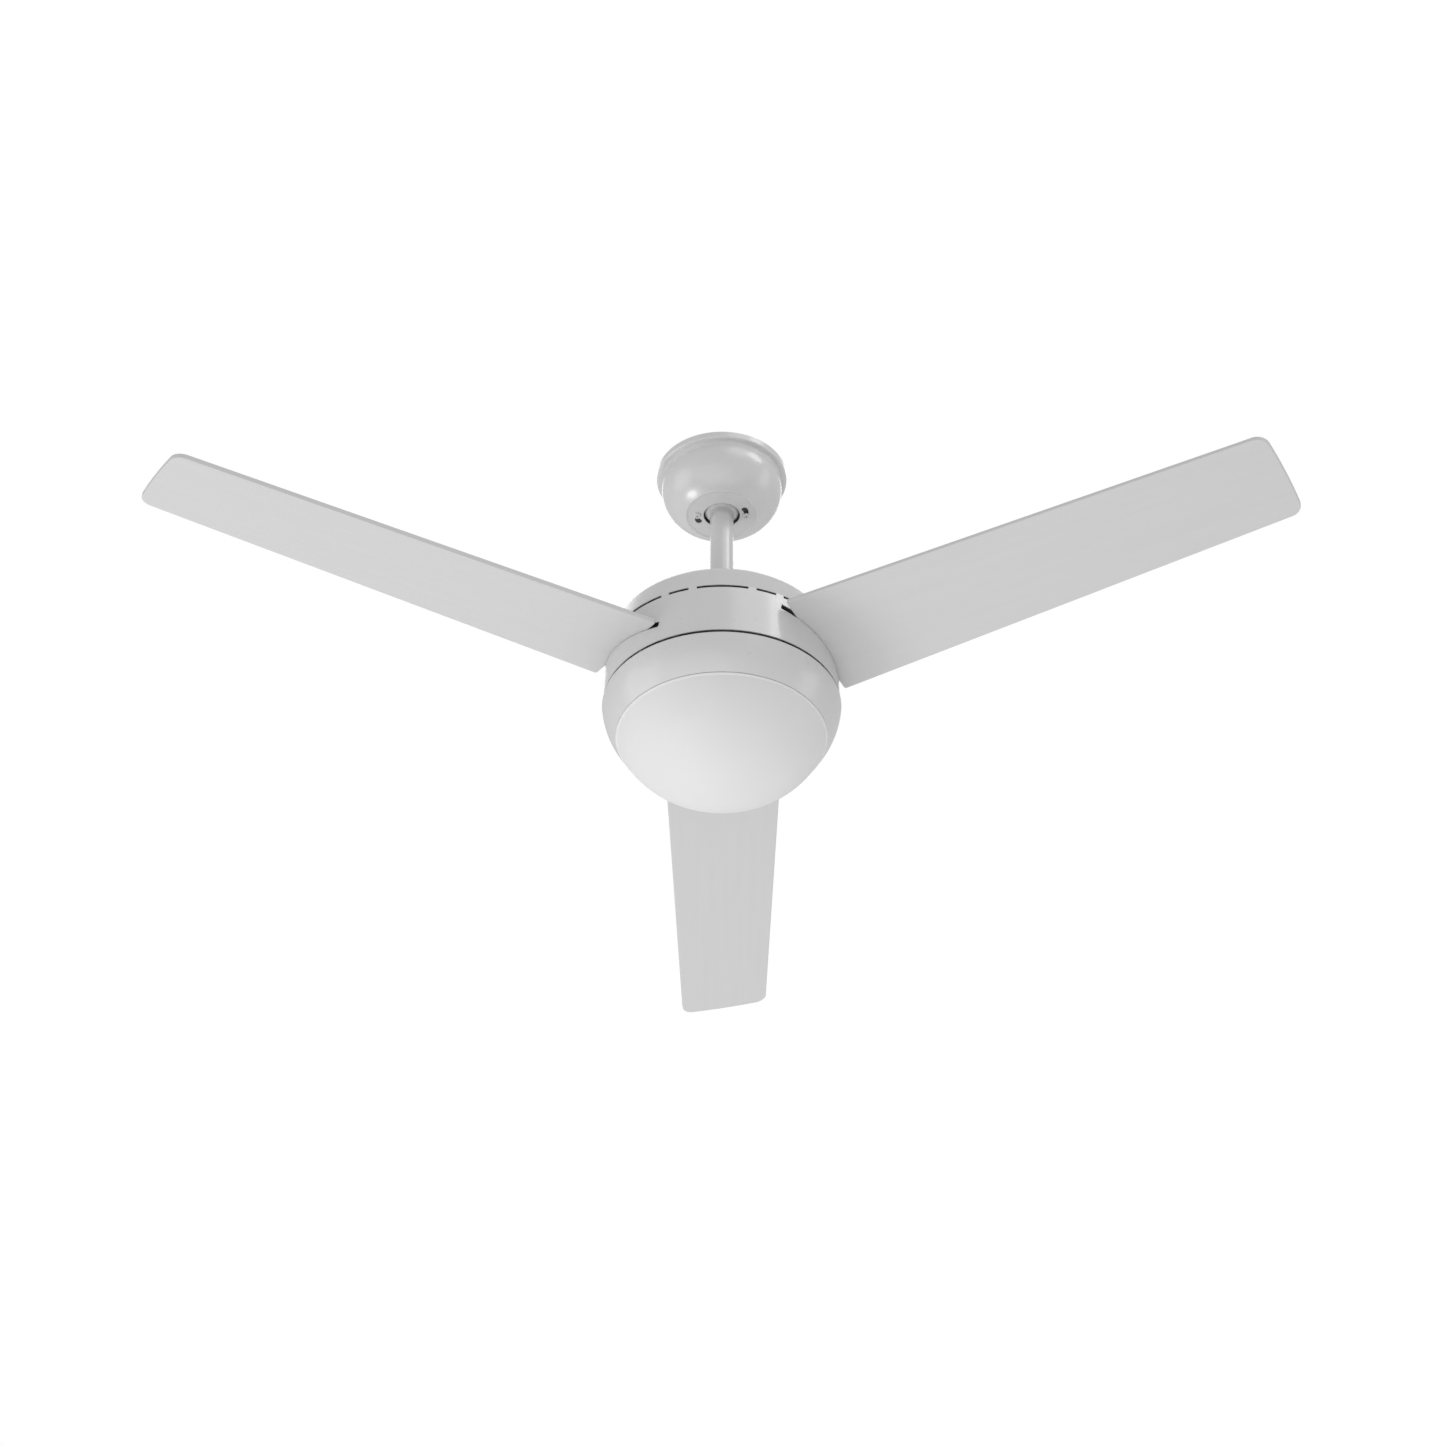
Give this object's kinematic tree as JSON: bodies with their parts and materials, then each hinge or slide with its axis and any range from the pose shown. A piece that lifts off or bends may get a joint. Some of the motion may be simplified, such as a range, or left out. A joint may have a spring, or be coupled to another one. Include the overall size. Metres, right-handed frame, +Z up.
{
  "type": "ceiling fan with light",
  "caption": "Ceiling fan with a dome light: a drum-shaped motor housing with flat pitched blades, hung by a short downrod from a ball joint in a round ceiling canopy.",
  "frame": {"origin": "centre of the hanging bracket top face, where the fan meets the ceiling", "axes": "+Z up into the ceiling; +Y along one blade; X along the two ceiling slots"},
  "size_m": [1.1838, 1.0368, 0.4518],
  "materials": {
    "white_paint": "glossy white powder coat",
    "blade_white": "satin white lacquer on a fibreboard core",
    "opal_glass": "satin opal",
    "white_nylon": "moulded",
    "zinc_steel": "zinc plated pressed sheet",
    "bright_steel": "zinc plated turned steel",
    "race_steel": "ground",
    "cast_alloy": "die cast",
    "lamination": "stacked electrical steel",
    "copper_wire": "enamelled copper",
    "black_iron": "black oxide",
    "black_steel": "black dip paint on pressed sheet",
    "dark_plastic": "moulded",
    "white_ceramic": "glazed",
    "lamp_cap": "rolled",
    "lamp_opal": "frosted",
    "black_rubber": "moulded",
    "cable_sheath": "extruded"
  },
  "bodies": {
    "ceiling_mount": {"hanging_bracket": "black_steel", "canopy": "white_paint", "canopy_screws": "white_paint", "remote_receiver": "white_nylon", "terminal_block": "white_nylon"},
    "seat_liner": {"ball_seat_liner": "dark_plastic"},
    "fan_frame": {"hanger_ball": "white_nylon", "ball_cross_pin": "bright_steel", "set_screws": "bright_steel", "downrod": "white_paint", "yoke": "black_iron", "clevis_pin": "bright_steel", "cotter_pin": "bright_steel", "yoke_cover": "white_paint", "cover_grommet": "black_rubber", "motor_shaft": "bright_steel", "stator_hub": "cast_alloy", "stator_core": "lamination", "stator_windings": "copper_wire", "upper_bearing_inner": "race_steel", "lower_bearing_inner": "race_steel", "bearing_balls": "race_steel", "light_kit_plate": "zinc_steel", "shaft_nut": "bright_steel", "light_bowl": "white_paint", "light_kit_screws": "bright_steel", "glass_fitter_ring": "zinc_steel", "run_capacitor": "dark_plastic", "lamp_bracket_1": "zinc_steel", "lamp_bracket_2": "zinc_steel", "lampholder_1": "white_ceramic", "lampholder_2": "white_ceramic", "lamp_base_1": "lamp_cap", "lamp_base_2": "lamp_cap", "lamp_globe_1": "lamp_opal", "lamp_globe_2": "lamp_opal", "wiring_harness": "cable_sheath", "harness_plugs": "white_nylon"},
    "rotor": {"rotor_shell_upper": "cast_alloy", "rotor_shell_lower": "cast_alloy", "shell_screws": "bright_steel", "rotor_ring": "lamination", "rotor_cage": "cast_alloy", "upper_bearing_outer": "race_steel", "lower_bearing_outer": "race_steel", "blade_bracket_1": "cast_alloy", "blade_bracket_2": "cast_alloy", "blade_bracket_3": "cast_alloy", "bracket_screws": "bright_steel", "blade_1": "blade_white", "blade_2": "blade_white", "blade_3": "blade_white", "blade_screws": "bright_steel", "blade_washers": "black_rubber", "top_cap": "white_paint", "cap_screws": "white_paint", "housing_band": "white_paint", "band_screws": "bright_steel"},
    "shade": {"glass_shade": "opal_glass"}
  },
  "joints": [
    {"name": "swing_x", "type": "hinge", "parent": "ceiling_mount", "child": "seat_liner", "pos_m": [0, 0, -0.036], "axis": [1, 0, 0], "range_deg": [-10, 10]},
    {"name": "swing_y", "type": "hinge", "parent": "seat_liner", "child": "fan_frame", "pos_m": [0, 0, -0.036], "axis": [0, 1, 0], "range_deg": [-10, 10]},
    {"name": "rotor_spin", "type": "hinge", "parent": "fan_frame", "child": "rotor", "pos_m": [0, 0, -0.292], "axis": [0, 0, 1], "continuous": true},
    {"name": "shade_twist", "type": "hinge", "parent": "fan_frame", "child": "shade", "pos_m": [0, 0, -0.372], "axis": [0, 0, 1], "range_deg": [0, 25]}
  ]
}
